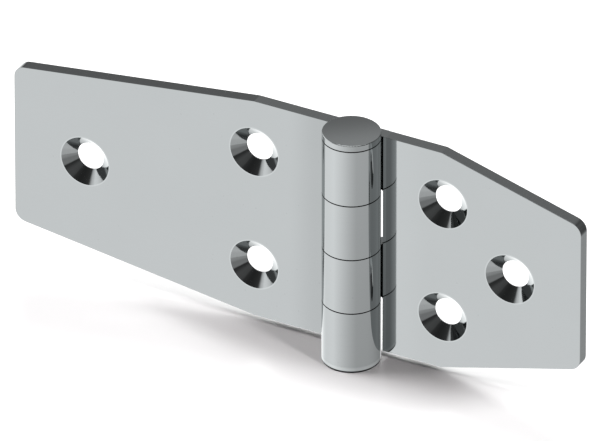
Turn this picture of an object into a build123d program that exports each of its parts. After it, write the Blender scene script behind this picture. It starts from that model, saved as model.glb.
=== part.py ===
"""Leaf hinge of polished stainless sheet, opened flat.

Millimetres. The pin stands along +Z, the long leaf runs towards -X and the short leaf towards +X, and the
countersunk faces look towards -Y. The origin is on the pin's axis, on the lower end of the barrel.
"""

import os
from math import asin, degrees

from build123d import *

# Sheet and pin
sheet_thickness = 2.0
pin_diameter = 5.0
running_clearance = 0.05  # radial, in the two knuckles that turn on the pin
edge_radius = 0.06  # the deburred rim of each leaf

# Barrel: knuckles between the pin's head above and a disc below
leaf_height = 38.0
knuckle_count = 4
knuckle_gap = 0.2  # along the pin, between neighbours and under the pin's head
slit_opening = 0.32  # from a rolled end's outer corner to the face of its own leaf
notch_clearance = 0.25  # from a turning knuckle to the nearest corner of the other leaf
notch_corner_radius = 0.4  # where a knuckle's side meets the notch beside it
head_thickness = 1.0
foot_disc_thickness = 1.0
barrel_end_round = 0.12

# Riveted lower end of the pin
spigot_diameter = 3.0
rivet_flare = 0.3
rivet_angle = 90.0

# Long leaf
long_leaf_reach = 59.4
long_shoulder_reach = 18.0
long_end_height = 27.0
long_hole_pair_reach = 18.0
long_end_hole_reach = 47.2

# Short leaf
short_leaf_reach = 37.7
short_shoulder_reach = 14.0
short_end_height = 25.0
short_hole_pair_reach = 14.3
short_end_hole_reach = 25.7

# Corners and screw holes, alike on both leaves
corner_radius = 2.0
hole_pair_spacing = 20.0
screw_hole_diameter = 4.5
countersink_diameter = 8.2
countersink_angle = 90.0

# Places that follow from the sizes
pin_radius = pin_diameter / 2
barrel_radius = pin_radius + sheet_thickness
front_face = pin_radius
back_face = barrel_radius
leaf_bottom = foot_disc_thickness
leaf_top = leaf_bottom + leaf_height
leaf_middle = leaf_bottom + leaf_height / 2
head_bottom = leaf_top + knuckle_gap
knuckle_pitch = leaf_height / knuckle_count
notch_reach = ((barrel_radius + notch_clearance) ** 2 - front_face**2) ** 0.5
spigot_radius = spigot_diameter / 2
corner_tolerance = 0.001


def knuckle_ends(index):
    """Lower and upper end of a knuckle, counted from the top. The outer ones are level with the leaves."""
    upper = leaf_top - index * knuckle_pitch
    lower = upper - knuckle_pitch
    if index > 0:
        upper -= knuckle_gap / 2
    if index < knuckle_count - 1:
        lower += knuckle_gap / 2
    return lower, upper


def folded_leaf(side, reach, shoulder_reach, end_height, pair_reach, end_hole_reach, knuckles, bore_radius):
    """One sheet: a tapered leaf on one side of the pin and the tongues that are rolled round the pin."""
    with BuildPart() as leaf:
        # Flat leaf, from the notches to its blunt end
        with BuildSketch(Plane.XZ.offset(-back_face)) as outline:
            with BuildLine():
                Polyline(
                    (side * notch_reach, leaf_bottom),
                    (side * shoulder_reach, leaf_bottom),
                    (side * reach, leaf_middle - end_height / 2),
                    (side * reach, leaf_middle + end_height / 2),
                    (side * shoulder_reach, leaf_top),
                    (side * notch_reach, leaf_top),
                    close=True,
                )
            make_face()
            end_corners = outline.vertices().sort_by(Axis.X, reverse=side > 0)[:2]
            fillet(end_corners, corner_radius)
        extrude(amount=sheet_thickness)
        broad_faces = leaf.faces().filter_by(Axis.Y)
        rim = broad_faces.edges().filter_by(lambda edge: side * edge.center().X > notch_reach + edge_radius)
        fillet(rim, edge_radius)

        # Tongues rolled round the pin, each with a slit where its end comes back to the leaf
        bore_start = degrees(asin(front_face / bore_radius))
        roll_end = 360 + degrees(asin((front_face - slit_opening) / barrel_radius))
        for index in knuckles:
            lower, upper = knuckle_ends(index)
            with BuildSketch(Plane.XY.offset(lower)) as roll:
                with BuildLine():
                    outside = CenterArc((0, 0), barrel_radius, 90, roll_end - 90)
                    inside = CenterArc((0, 0), bore_radius, bore_start, roll_end - bore_start)
                    Line(outside @ 1, inside @ 1)
                    Polyline(inside @ 0, (notch_reach, front_face), (notch_reach, back_face), outside @ 0)
                make_face()
                if side < 0:
                    mirror(about=Plane.YZ, mode=Mode.REPLACE)
            extrude(amount=upper - lower)
        notch_corners = (
            leaf.edges()
            .filter_by(Axis.Y)
            .filter_by_position(Axis.Z, leaf_bottom, leaf_top, inclusive=(False, False))
            .filter_by(lambda edge: abs(abs(edge.center().X) - notch_reach) < corner_tolerance)
        )
        fillet(notch_corners, notch_corner_radius)

        # Countersunk screw holes: a pair in one column and one near the end
        screw_places = [
            (side * pair_reach, leaf_middle + hole_pair_spacing / 2),
            (side * pair_reach, leaf_middle - hole_pair_spacing / 2),
            (side * end_hole_reach, leaf_middle),
        ]
        with Locations(Plane.XZ.offset(-front_face)):
            with Locations(*screw_places):
                CounterSinkHole(
                    radius=screw_hole_diameter / 2,
                    counter_sink_radius=countersink_diameter / 2,
                    depth=sheet_thickness,
                    counter_sink_angle=countersink_angle,
                )
    return leaf


# Long leaf with the second and fourth knuckles, rolled tight on the pin
long_leaf = folded_leaf(
    side=-1,
    reach=long_leaf_reach,
    shoulder_reach=long_shoulder_reach,
    end_height=long_end_height,
    pair_reach=long_hole_pair_reach,
    end_hole_reach=long_end_hole_reach,
    knuckles=range(1, knuckle_count, 2),
    bore_radius=pin_radius,
)

# Short leaf with the first and third knuckles, reamed to turn on the pin
short_leaf = folded_leaf(
    side=1,
    reach=short_leaf_reach,
    shoulder_reach=short_shoulder_reach,
    end_height=short_end_height,
    pair_reach=short_hole_pair_reach,
    end_hole_reach=short_end_hole_reach,
    knuckles=range(0, knuckle_count, 2),
    bore_radius=pin_radius + running_clearance,
)

# Pin turned in one piece: flat head, shank, and a spigot riveted over in the foot disc
with BuildPart() as hinge_pin:
    with BuildSketch(Plane.XZ):
        with BuildLine():
            Polyline(
                (0, 0),
                (spigot_radius + rivet_flare, 0),
                (spigot_radius, rivet_flare),
                (spigot_radius, foot_disc_thickness),
                (pin_radius, foot_disc_thickness),
                (pin_radius, head_bottom),
                (barrel_radius, head_bottom),
                (barrel_radius, head_bottom + head_thickness),
                (0, head_bottom + head_thickness),
                close=True,
            )
        make_face()
    revolve(axis=Axis.Z)
    head_rim = hinge_pin.faces().sort_by(Axis.Z)[-1].edges()
    fillet(head_rim, barrel_end_round)

# Disc that closes the lower end of the barrel
with BuildPart() as foot_disc:
    with BuildSketch():
        Circle(barrel_radius)
    extrude(amount=foot_disc_thickness)
    foot_rim = foot_disc.faces().sort_by(Axis.Z)[0].edges()
    fillet(foot_rim, barrel_end_round)
    with Locations(Plane.XY.rotated((180, 0, 0))):
        CounterSinkHole(
            radius=spigot_radius,
            counter_sink_radius=spigot_radius + rivet_flare,
            depth=foot_disc_thickness,
            counter_sink_angle=rivet_angle,
        )

long_leaf.part.label = "long_leaf"
short_leaf.part.label = "short_leaf"
hinge_pin.part.label = "hinge_pin"
foot_disc.part.label = "foot_disc"

os.makedirs("parts", exist_ok=True)
export_step(long_leaf.part, "parts/long_leaf.step")
export_step(short_leaf.part, "parts/short_leaf.step")
export_step(hinge_pin.part, "parts/hinge_pin.step")
export_step(foot_disc.part, "parts/foot_disc.step")
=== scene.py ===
import math

import bmesh
import bpy
from mathutils import Matrix, Vector

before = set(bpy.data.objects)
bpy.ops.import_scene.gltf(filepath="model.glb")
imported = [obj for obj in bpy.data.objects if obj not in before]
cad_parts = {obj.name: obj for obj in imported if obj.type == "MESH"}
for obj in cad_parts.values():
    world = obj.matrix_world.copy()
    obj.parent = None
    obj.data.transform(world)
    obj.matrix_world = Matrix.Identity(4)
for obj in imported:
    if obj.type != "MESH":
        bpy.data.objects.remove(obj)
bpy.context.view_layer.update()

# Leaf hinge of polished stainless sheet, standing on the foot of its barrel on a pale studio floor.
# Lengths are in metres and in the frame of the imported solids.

MM = 0.001

# Shader maths


class Value:
    """A number in a node tree. Operators on it add Math nodes."""

    def __init__(self, shader, socket):
        self.shader = shader
        self.socket = socket

    def apply(self, operation, *operands):
        node = self.shader.node("ShaderNodeMath", {"operation": operation}, *operands)
        return Value(self.shader, node.outputs[0])

    def __add__(self, other):
        return self.apply("ADD", self, other)

    def __radd__(self, other):
        return self.apply("ADD", other, self)

    def __sub__(self, other):
        return self.apply("SUBTRACT", self, other)

    def __rsub__(self, other):
        return self.apply("SUBTRACT", other, self)

    def __mul__(self, other):
        return self.apply("MULTIPLY", self, other)

    def __rmul__(self, other):
        return self.apply("MULTIPLY", other, self)

    def __truediv__(self, other):
        return self.apply("DIVIDE", self, other)

    def __pow__(self, other):
        return self.apply("POWER", self, other)

    def __gt__(self, other):
        return self.apply("GREATER_THAN", self, other)

    def __lt__(self, other):
        return self.apply("LESS_THAN", self, other)

    def __abs__(self):
        return self.apply("ABSOLUTE", self)

    def least(self, other):
        return self.apply("MINIMUM", self, other)


# How many sizes of pattern a noise adds up
COARSE = 3
FINE = 4


class Shader:
    """A node tree of a material or of the world."""

    def __init__(self, owner):
        owner.use_nodes = True
        self.tree = owner.node_tree
        self.tree.nodes.clear()

    def node(self, kind, settings=None, *inputs, **named_inputs):
        """A new node: its settings first, then its sockets in order or by name."""
        node = self.tree.nodes.new(kind)
        for name, setting in (settings or {}).items():
            if name == "stops":
                self.set_stops(node.color_ramp, setting)
            elif name == "blend":
                node.color_ramp.interpolation = setting
            else:
                setattr(node, name, setting)
        by_name = {name.replace("_", " "): given for name, given in named_inputs.items()}
        for key, given in [*enumerate(inputs), *by_name.items()]:
            self.give(node.inputs[key], given)
        return node

    def give(self, socket, given):
        """Sets a socket to a value, or links it to another node's socket."""
        if isinstance(given, Value):
            self.tree.links.new(given.socket, socket)
        elif isinstance(given, bpy.types.NodeSocket):
            self.tree.links.new(given, socket)
        else:
            socket.default_value = given

    def set_stops(self, ramp, stops):
        """Fills a ramp with places and grey levels."""
        while len(ramp.elements) < len(stops):
            ramp.elements.new(1)
        for element, (place, level) in zip(ramp.elements, stops):
            element.position = place
            element.color = (level, level, level, 1)

    def parts(self, vector):
        """The three numbers of a vector socket."""
        split = self.node("ShaderNodeSeparateXYZ", None, vector)
        return [Value(self, output) for output in split.outputs]

    def smooth_step(self, value, start, end):
        """0 before start, 1 after end, and a smooth rise between them."""
        settings = {"interpolation_type": "SMOOTHSTEP"}
        node = self.node("ShaderNodeMapRange", settings, Value=value, From_Min=start, From_Max=end)
        return Value(self, node.outputs[0])

    def profile(self, value, points, blend="EASE"):
        """A curve through points of (value, level), flat beyond its ends."""
        start, end = points[0][0], points[-1][0]
        top = max(level for _, level in points)
        share = (value - start) / (end - start)
        stops = [((place - start) / (end - start), level / top) for place, level in points]
        ramp = self.node("ShaderNodeValToRGB", {"stops": stops, "blend": blend}, share)
        return Value(self, ramp.outputs[0]) * top

    def noise(self, vector, scale=1, detail=COARSE):
        """Smooth noise from 0 to 1."""
        settings = {"noise_dimensions": "3D"}
        node = self.node("ShaderNodeTexNoise", settings, Vector=vector, Scale=scale, Detail=detail)
        return Value(self, node.outputs["Fac"])

    def stretched(self, vector, scale):
        """A vector with each of its three numbers multiplied."""
        return self.node("ShaderNodeVectorMath", {"operation": "MULTIPLY"}, vector, scale).outputs[0]

    def tint(self, colour, level):
        """A colour multiplied by a number."""
        node = self.node("ShaderNodeVectorMath", {"operation": "SCALE"}, colour, Scale=level)
        return node.outputs[0]


def heading(turn, height):
    """The direction from the hinge, in degrees from the front towards the right and above the floor."""
    turn, height = math.radians(turn), math.radians(height)
    return Vector((
        math.sin(turn) * math.cos(height),
        -math.cos(turn) * math.cos(height),
        math.sin(height),
    ))


# Camera: a long lens, far away, to the right of the leaves and above them. Its angles are in degrees.

TURN = 28.026
HEIGHT = 31.452
DISTANCE = 3050 * MM
PIXELS_PER_MM = 6.6156
PICTURE_WIDTH = 600
SENSOR_WIDTH = 36
CLIP_END = 100
AIM_RIGHT = -7.761 * MM
AIM_UP = 3.732 * MM
BARREL_MIDDLE = Vector((0, 0, 20 * MM))


def set_camera():
    backwards = heading(TURN, HEIGHT)
    right = heading(TURN + 90, 0)
    up = backwards.cross(right)
    lens = bpy.data.cameras.new("long_lens")
    lens.sensor_width = SENSOR_WIDTH
    lens.lens = SENSOR_WIDTH * (DISTANCE / MM) * PIXELS_PER_MM / PICTURE_WIDTH
    lens.clip_end = CLIP_END
    camera = bpy.data.objects.new("long_lens", lens)
    aim = BARREL_MIDDLE + right * AIM_RIGHT + up * AIM_UP
    turned = Matrix((right, up, backwards)).transposed().to_4x4()
    camera.matrix_world = Matrix.Translation(aim + backwards * DISTANCE) @ turned
    bpy.context.scene.collection.objects.link(camera)
    bpy.context.scene.camera = camera


# Light: eight soft lamps for the floor and its shadow, and a studio that only the steel mirrors

FLOOR_ALBEDO = 0.8
PLAIN = (1.0, 1.0, 1.0)
WARM = (1.0, 0.96, 0.975)
LAMPS = {
    # name: (direction in degrees from the front towards the right, height, softness, share of white, colour)
    "right_lamp": (112, 28.5, 21, 0.355, PLAIN),
    "left_lamp": (-68, 42, 19.5, 0.200, WARM),
    "low_left_lamp": (-100, 13, 7.5, 0.199, PLAIN),
    "high_left_lamp": (-84, 67.5, 9, 0.175, PLAIN),
    "front_right_lamp": (72, 46, 7, 0.160, WARM),
    "lower_left_lamp": (-102, 17, 16, 0.156, PLAIN),
    "back_left_lamp": (-152, 30, 12, 0.141, PLAIN),
    "high_right_lamp": (94, 64, 14, 0.102, PLAIN),
}


def add_lamps():
    for name, (turn, height, softness, share, colour) in LAMPS.items():
        light = bpy.data.lights.new(name, "SUN")
        light.angle = math.radians(softness)
        light.color = colour
        light.energy = share * math.pi / (FLOOR_ALBEDO * math.sin(math.radians(height)))
        lamp = bpy.data.objects.new(name, light)
        lamp.rotation_mode = "QUATERNION"
        lamp.rotation_quaternion = heading(turn, height).to_track_quat("Z", "Y")
        lamp.location = heading(turn, height)
        lamp.visible_glossy = False
        bpy.context.scene.collection.objects.link(lamp)


# What the steel mirrors, as (degrees, brightness). Turns go from the front towards the right.
# Below the horizon: the brightness all round, and how it changes with the height on the right and the left
LOW_BY_TURN = [
    (-180, 0.30), (-160, 0.87), (-145, 1.10), (-127, 1.22), (-111, 1.18), (-100, 1.04), (-88, 0.97),
    (-45, 0.99), (-30, 0.91), (-16, 0.84), (0, 0.75), (16, 0.66), (30, 0.59), (47, 0.51), (71, 0.50),
    (98, 0.49), (120, 0.46), (152, 0.39), (180, 0.30),
]
LOW_RIGHT_BY_HEIGHT = [
    (-90, 1.0), (-60, 1.2), (-47, 1.06), (-31, 1.0), (-23, 0.67), (-14, 0.46), (0, 0.48),
]
LOW_LEFT_BY_HEIGHT = [(-90, 0.62), (-62, 0.81), (-53, 0.95), (-31, 1.0), (0, 0.6)]
LEFT_BY_TURN = [(-180, 0.0), (-150, 1.0), (-60, 1.0), (-40, 0.0)]

# Above the horizon, in front and at the sides
HIGH_BY_TURN = [
    (-180, 0.22), (-125, 0.38), (-105, 1.20), (-60, 0.86), (-50, 0.17), (-33, 0.16), (0, 0.13),
    (25, 0.14), (45, 0.08), (52, 0.045), (64, 0.075), (110, 0.10), (155, 0.11), (180, 0.22),
]
HIGH_BY_HEIGHT = [(0, 0.68), (27, 1.0), (33, 0.81), (39, 0.58), (45, 0.24), (52, 0.18), (90, 0.05)]

# Above the horizon, behind the hinge
BEHIND_BY_TURN = [(-180, 1.0), (-135, 1.0), (-112, 0.0), (157, 0.0), (180, 1.0)]
BEHIND_BY_HEIGHT = [
    (0, 0.10), (20, 0.13), (24, 0.145), (31, 0.205), (36, 0.24), (41, 0.18), (50, 0.12), (90, 0.12),
]

# Dark screens that stand low on the right, in front and behind, as their turns and their heights
SCREENS = [
    (
        [(14, 0.0), (26, 0.75), (33, 1.0), (38, 0.8), (50, 0.0)],
        [(-29, 0.0), (-20, 0.65), (-14, 1.0), (-9, 0.8), (-2, 0.0)],
    ),
    (
        [(122, 0.0), (132, 1.0), (158, 1.0), (168, 0.0)],
        [(-29, 0.0), (-21, 1.0), (0, 1.0), (8, 0.0)],
    ),
]
SCREEN_SHADE = 0.6

# A soft light overhead, and where the studio changes from below to above the horizon
ZENITH_BRIGHTNESS = 0.6
ZENITH_HEIGHTS = (56, 72)
HORIZON_HEIGHTS = (1, 7)
STUDIO_POWER = 1.7


def set_studio():
    """The camera sees white behind the floor, and the steel mirrors a studio, bright on the left."""
    world = bpy.data.worlds.new("studio")
    bpy.context.scene.world = world
    shader = Shader(world)
    direction = shader.node("ShaderNodeTexCoord").outputs["Generated"]
    x, y, z = shader.parts(direction)
    degrees = math.degrees(1)
    turn = x.apply("ARCTAN2", x, 0 - y) * degrees
    height = z.apply("ARCSINE", z) * degrees

    left = shader.profile(turn, LEFT_BY_TURN)
    low_right = shader.profile(height, LOW_RIGHT_BY_HEIGHT)
    low_left = shader.profile(height, LOW_LEFT_BY_HEIGHT)
    low = shader.profile(turn, LOW_BY_TURN, "LINEAR") * (low_right + (low_left - low_right) * left)
    for by_turn, by_height in SCREENS:
        screen = shader.profile(turn, by_turn) * shader.profile(height, by_height)
        low = low * (1 - screen * SCREEN_SHADE)
    high = shader.profile(turn, HIGH_BY_TURN) * shader.profile(height, HIGH_BY_HEIGHT)
    behind = shader.profile(turn, BEHIND_BY_TURN)
    high = high + (shader.profile(height, BEHIND_BY_HEIGHT) - high) * behind
    high = high + shader.smooth_step(height, *ZENITH_HEIGHTS) * ZENITH_BRIGHTNESS
    above = shader.smooth_step(height, *HORIZON_HEIGHTS)
    mirrored = low + (high - low) * above

    ray = shader.node("ShaderNodeLightPath")
    from_floor = Value(shader, ray.outputs["Diffuse Depth"]) > 0.5
    is_mirrored = Value(shader, ray.outputs["Is Glossy Ray"]) * (1 - from_floor)
    is_seen = Value(shader, ray.outputs["Is Camera Ray"])
    strength = mirrored * is_mirrored * STUDIO_POWER + is_seen
    background = shader.node("ShaderNodeBackground", None, Color=(1, 1, 1, 1), Strength=strength)
    shader.node("ShaderNodeOutputWorld", None, Surface=background.outputs[0])


FLOOR_SIZE = 40


def add_floor():
    mesh = bpy.data.meshes.new("studio_floor")
    shape = bmesh.new()
    bmesh.ops.create_grid(shape, x_segments=1, y_segments=1, size=FLOOR_SIZE / 2)
    shape.to_mesh(mesh)
    shape.free()
    floor = bpy.data.objects.new("studio_floor", mesh)
    bpy.context.scene.collection.objects.link(floor)
    paint = bpy.data.materials.new("studio_floor")
    shader = Shader(paint)
    matt = shader.node("ShaderNodeBsdfDiffuse", None, Color=(FLOOR_ALBEDO, FLOOR_ALBEDO, FLOOR_ALBEDO, 1))
    clear = shader.node("ShaderNodeBsdfTransparent")
    underside = shader.node("ShaderNodeNewGeometry").outputs["Backfacing"]
    seen = shader.node("ShaderNodeMixShader", None, underside, matt.outputs[0], clear.outputs[0])
    shader.node("ShaderNodeOutputMaterial", None, Surface=seen.outputs[0])
    mesh.materials.append(paint)
    floor.visible_glossy = False


# Steel. Places on it are read in millimetres from the pin's axis and the foot of the barrel, and a pair of
# places is where a smooth change starts and ends.

STEEL = (0.348, 0.365, 0.369)
STEEL_RIM = (0.75, 0.76, 0.76, 1)
PLAIN_LEVEL = 0.985
RELIEF_UNIT = 0.001 * MM

FRONT_FACE = 2.5
BACK_FACE = 4.5
FACE_DEPTH = 0.04
LEAF_START = 4.6
COUNTERSINK_RADIUS = 4.1
SCREW_HOLES = {
    "long_leaf": [(-18, 30), (-18, 10), (-47.2, 20)],
    "short_leaf": [(14.3, 30), (14.3, 10), (25.7, 20)],
}

# A painted highlight, a bright ring, runs round each countersink.
COUNTERSINK_HIGHLIGHT_RIM = (4.2, 4.34)
COUNTERSINK_HIGHLIGHT_TONE = 0.16

# The front of each leaf has painted shade in the root beside the barrel; a little further out the long leaf
# has painted shade and the short leaf a painted brightening.
ROOT = (5.2, 5.9)
ROOT_PAINTED_SHADE = -0.2
BESIDE_BARREL = (7, 12.5)
BESIDE_BARREL_PAINTED_TONES = {"long_leaf": -0.11, "short_leaf": 0.035}

# Painted reflection: the barrel is painted brighter towards its top, more so on its right.
BARREL_EVEN_HEIGHT = 17
BARREL_RIGHT = (-1.5, 1.5)
BARREL_PAINTED_RISE = 0.0008
BARREL_PAINTED_RISE_ON_RIGHT = 0.004

# The foot's rounding has a painted contact shadow, the rim above it a painted highlight, and the head a
# painted reflection, brighter towards the front right.
FOOT_ROUNDING = (0.24, 0.38)
CONTACT_SHADOW_LEVEL = 0.02
FOOT_RIM = (0.70, 0.95)
FOOT_RIM_HIGHLIGHT = 0.12
HEAD_TOP = (40.08, 40.18)
HEAD_ACROSS = (0.64, -0.77)
HEAD_SPAN = (-4.5, 4.5)
HEAD_PAINTED_TONE = -0.10
HEAD_PAINTED_REFLECTION_ACROSS = 0.72

# Strength and size of the small details
SMUDGE_SCALE = 0.11
SMUDGE_TONE = 0.03
SPECK_TONE = 0.05
SPECK_SIZE = 0.10
SPECK_SHARE = 0.3
GRAIN_STRETCH = (0.9, 0.9, 14)
GRAIN_TONE = 0.03
GRAIN_RELIEF = 0.25
SHEAR_STRETCH = (9, 0.8, 9)
SHEAR_TONE = 0.22
SHEAR_RELIEF = 1.5
ROLLED_STRETCH = (0.3, 0.3, 11)
ROLLED_TONE = 0.04
MOTTLE_SCALE = 1.7
CUTTER_RINGS = 9
CUTTER_TONE = 0.10
CUTTER_RELIEF = 0.5
LATHE_RINGS = 7
LATHE_TONE = 0.06
LATHE_RELIEF = 0.4
ARC_RINGS = 3
ARC_SPREAD = 0.12
ARC_SCALE = 2
ARC_TONE = 0.03
SPECKS_ON_LEAF = 0.55
SPECKS_ON_PIN = 0.6

# Roughness, and what the small details and the band of painted contact shadow add to it
LEAF_ROUGHNESS = 0.035
PIN_ROUGHNESS = 0.04
SMUDGE_ROUGHNESS = 0.02
MOTTLE_ROUGHNESS = 0.01
EDGE_ROUGHNESS = 0.05
RING_ROUGHNESS = 0.03
CONTACT_SHADOW_ROUGHNESS = 0.3


class Finish(Shader):
    """A polished steel with the places that its details depend on."""

    def __init__(self, name):
        self.material = bpy.data.materials.new(name)
        super().__init__(self.material)
        metres = self.node("ShaderNodeTexCoord").outputs["Object"]
        self.place = self.stretched(metres, (1 / MM, 1 / MM, 1 / MM))
        self.x, self.y, self.z = self.parts(self.place)
        self.smudge = self.noise(self.place, SMUDGE_SCALE)

    def combined(self, *numbers):
        return self.node("ShaderNodeCombineXYZ", None, *numbers).outputs[0]

    def specks(self, density):
        """1 in a few small round spots, 0 elsewhere."""
        cells = self.node("ShaderNodeTexVoronoi", {"feature": "F1"}, Vector=self.place, Scale=density)
        near = 1 - self.smooth_step(Value(self, cells.outputs["Distance"]), SPECK_SIZE / 2, SPECK_SIZE)
        split = self.node("ShaderNodeSeparateXYZ", None, cells.outputs["Color"])
        return near * (Value(self, split.outputs[0]) < SPECK_SHARE)

    def surface(self, level, roughness, height):
        """Ends the finish with its brightness, its roughness and a relief in thousandths of a millimetre."""
        bump = self.node("ShaderNodeBump", None, Strength=1.0, Distance=RELIEF_UNIT, Height=height)
        surface = self.node(
            "ShaderNodeBsdfPrincipled",
            None,
            Base_Color=self.tint(STEEL, level),
            Specular_Tint=STEEL_RIM,
            Metallic=1.0,
            Roughness=roughness,
            Normal=bump.outputs[0],
        )
        self.node("ShaderNodeOutputMaterial", None, Surface=surface.outputs[0])
        return self.material


def leaf_finish(name):
    """Polished sheet with sheared edges, turned countersinks and knuckles polished round the barrel, with
    painted highlights round the countersinks, painted shade and brightening beside the barrel and a painted
    brightening up the knuckles.
    """
    finish = Finish(name)
    x, y, z = finish.x, finish.y, finish.z

    # Where on the leaf
    to_hole = None
    for hole_x, hole_z in SCREW_HOLES[name]:
        distance = ((x - hole_x) * (x - hole_x) + (z - hole_z) * (z - hole_z)) ** 0.5
        to_hole = distance if to_hole is None else to_hole.least(distance)
    on_leaf = abs(x) > LEAF_START
    on_barrel = 1 - on_leaf
    on_front = on_leaf * (y < FRONT_FACE + FACE_DEPTH)
    inside_sheet = (y > FRONT_FACE + FACE_DEPTH) * (y < BACK_FACE - FACE_DEPTH)
    in_countersink = (to_hole < COUNTERSINK_RADIUS) * inside_sheet
    on_edge = on_leaf * inside_sheet * (1 - in_countersink)
    # painted highlight: a bright ring round each countersink on the front
    on_highlight_rim = (1 - finish.smooth_step(to_hole, *COUNTERSINK_HIGHLIGHT_RIM)) * on_front
    in_painted_root_shade = on_front * (1 - finish.smooth_step(abs(x), *ROOT))
    beside_barrel = on_front * (1 - in_painted_root_shade) * (1 - finish.smooth_step(abs(x), *BESIDE_BARREL))
    right_side = finish.smooth_step(x, *BARREL_RIGHT)

    # Fine patterns
    grain = finish.noise(finish.stretched(finish.place, GRAIN_STRETCH))
    shear = finish.noise(finish.stretched(finish.place, SHEAR_STRETCH))
    rings = finish.noise(finish.combined(to_hole * CUTTER_RINGS, finish.smudge, 0))
    rolled = finish.noise(finish.stretched(finish.place, ROLLED_STRETCH))
    mottle = finish.noise(finish.place, MOTTLE_SCALE, FINE)
    specks = finish.specks(SPECKS_ON_LEAF)

    level = PLAIN_LEVEL + finish.smudge * SMUDGE_TONE + (grain - 0.5) * GRAIN_TONE - specks * SPECK_TONE
    level = level + on_edge * ((shear - 0.5) * SHEAR_TONE)
    level = level + in_countersink * ((rings - 0.5) * CUTTER_TONE) + on_highlight_rim * COUNTERSINK_HIGHLIGHT_TONE
    # painted reflection: the knuckles are painted brighter towards the top, more so on the right
    rise = (z - BARREL_EVEN_HEIGHT) * (BARREL_PAINTED_RISE + right_side * BARREL_PAINTED_RISE_ON_RIGHT)
    level = level + on_barrel * ((rolled - 0.5) * ROLLED_TONE + rise)
    # painted shade in the root, and beside the barrel painted shade on the long leaf and a painted
    # brightening on the short leaf
    level = level + beside_barrel * BESIDE_BARREL_PAINTED_TONES[name] + in_painted_root_shade * ROOT_PAINTED_SHADE
    roughness = LEAF_ROUGHNESS + finish.smudge * SMUDGE_ROUGHNESS + mottle * MOTTLE_ROUGHNESS
    roughness = roughness + on_edge * ((1 + shear) * EDGE_ROUGHNESS)
    roughness = roughness + in_countersink * (rings * RING_ROUGHNESS)
    height = (grain - 0.5) * GRAIN_RELIEF * (1 - on_edge) + on_edge * (shear * SHEAR_RELIEF)
    height = height + in_countersink * (rings * CUTTER_RELIEF)
    return finish.surface(level, roughness, height)


def turned_finish(name):
    """The pin's head and the foot disc, turned on a lathe, with a painted contact shadow in the foot's
    rounding, a painted highlight on the rim above it and a painted reflection on the head.
    """
    finish = Finish(name)
    x, y, z = finish.x, finish.y, finish.z
    off_axis = (x * x + y * y) ** 0.5
    foot = finish.smooth_step(z, *FOOT_ROUNDING)
    # painted highlight on the rim above the foot's rounding
    foot_rim_highlight = foot * (1 - finish.smooth_step(z, *FOOT_RIM))
    on_head = finish.smooth_step(z, *HEAD_TOP)
    across = finish.smooth_step(x * HEAD_ACROSS[0] + y * HEAD_ACROSS[1], *HEAD_SPAN)

    rings = finish.noise(finish.combined(off_axis * LATHE_RINGS, z * LATHE_RINGS, 0))
    along_arcs = finish.combined(off_axis * ARC_RINGS, x * ARC_SPREAD, y * ARC_SPREAD)
    arcs = finish.noise(along_arcs, ARC_SCALE, FINE)
    specks = finish.specks(SPECKS_ON_PIN)

    level = PLAIN_LEVEL + finish.smudge * SMUDGE_TONE - specks * SPECK_TONE
    level = level + (rings - 0.5) * LATHE_TONE + (arcs - 0.5) * ARC_TONE
    # painted contact shadow darkens the foot's rounding, and a painted highlight brightens the rim above it
    level = level * (foot * (1 - CONTACT_SHADOW_LEVEL) + CONTACT_SHADOW_LEVEL) * (1 + foot_rim_highlight * FOOT_RIM_HIGHLIGHT)
    # painted reflection on the head: darker at the back left, painted brighter towards the front right
    level = level * (1 + on_head * (across * HEAD_PAINTED_REFLECTION_ACROSS + HEAD_PAINTED_TONE))
    roughness = PIN_ROUGHNESS + finish.smudge * SMUDGE_ROUGHNESS + rings * RING_ROUGHNESS
    roughness = roughness + (1 - foot) * CONTACT_SHADOW_ROUGHNESS
    height = (rings - 0.5) * LATHE_RELIEF
    return finish.surface(level, roughness, height)


def dress(node, finish):
    """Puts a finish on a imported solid's own slot."""
    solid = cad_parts[node]
    for slot in solid.material_slots:
        slot.material = finish


bpy.context.scene.view_settings.view_transform = "Standard"
set_camera()
add_lamps()
set_studio()
add_floor()

dress("long_leaf", leaf_finish("long_leaf"))
dress("short_leaf", leaf_finish("short_leaf"))
pin_steel = turned_finish("pin_steel")
dress("hinge_pin", pin_steel)
dress("foot_disc", pin_steel)
